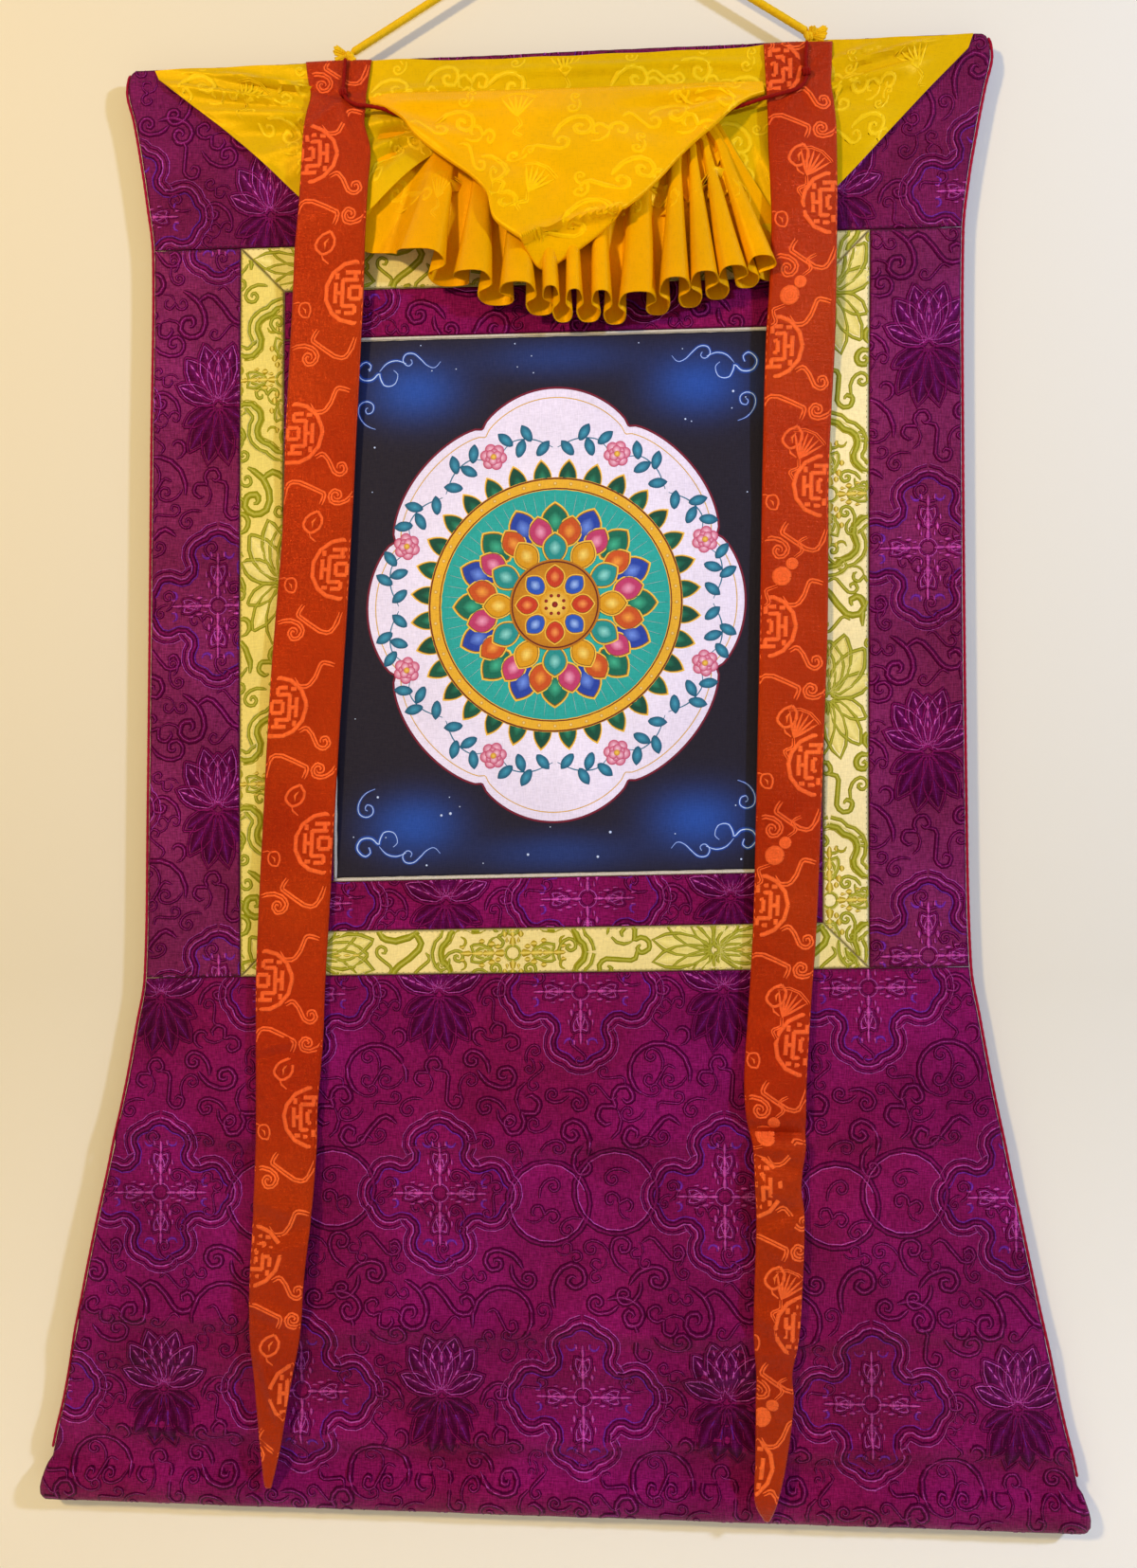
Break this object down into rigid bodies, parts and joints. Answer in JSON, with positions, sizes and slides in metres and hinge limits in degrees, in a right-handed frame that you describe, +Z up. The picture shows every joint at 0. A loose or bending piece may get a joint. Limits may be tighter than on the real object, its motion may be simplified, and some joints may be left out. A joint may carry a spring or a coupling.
{
  "type": "thangka scroll painting",
  "caption": "Painted cloth panel in a flared silk brocade mount, hung from a cord, with a gathered silk veil folded up and streamers in front.",
  "frame": {"origin": "underside of the hanging cord's bend, where the cord lies on its nail", "axes": "+Z up, +X to the viewer's right, the picture faces -Y"},
  "size_m": [0.831, 0.0476, 1.2831],
  "materials": {
    "purple_brocade": "silk brocade with a glossy woven scroll",
    "green_brocade": "silk brocade, lime ground with olive scrolls",
    "red_brocade": "silk brocade with orange motifs",
    "yellow_silk": "thin glossy figured silk",
    "canvas": "painted canvas, matte",
    "cream_piping": "matte cord piping",
    "red_cord": "matte twisted thread",
    "yellow_cord": "soft braided cord"
  },
  "bodies": {
    "root": {"top_panel": "purple_brocade", "left_panel": "purple_brocade", "right_panel": "purple_brocade", "bottom_panel": "purple_brocade", "edge_cord_left": "red_cord", "edge_cord_right": "red_cord", "green_band_top": "green_brocade", "green_band_bottom": "green_brocade", "green_band_left": "green_brocade", "green_band_right": "green_brocade", "inner_band_top": "purple_brocade", "inner_band_bottom": "purple_brocade", "inner_band_left": "purple_brocade", "inner_band_right": "purple_brocade", "painting": "canvas", "piping_top": "cream_piping", "piping_bottom": "cream_piping", "piping_left": "cream_piping", "piping_right": "cream_piping", "veil": "yellow_silk", "streamer_left": "red_brocade", "streamer_right": "red_brocade", "tie_cord": "red_cord", "hanging_cord": "yellow_cord", "cord_knot_left": "yellow_cord", "cord_knot_right": "yellow_cord"}
  },
  "joints": []
}
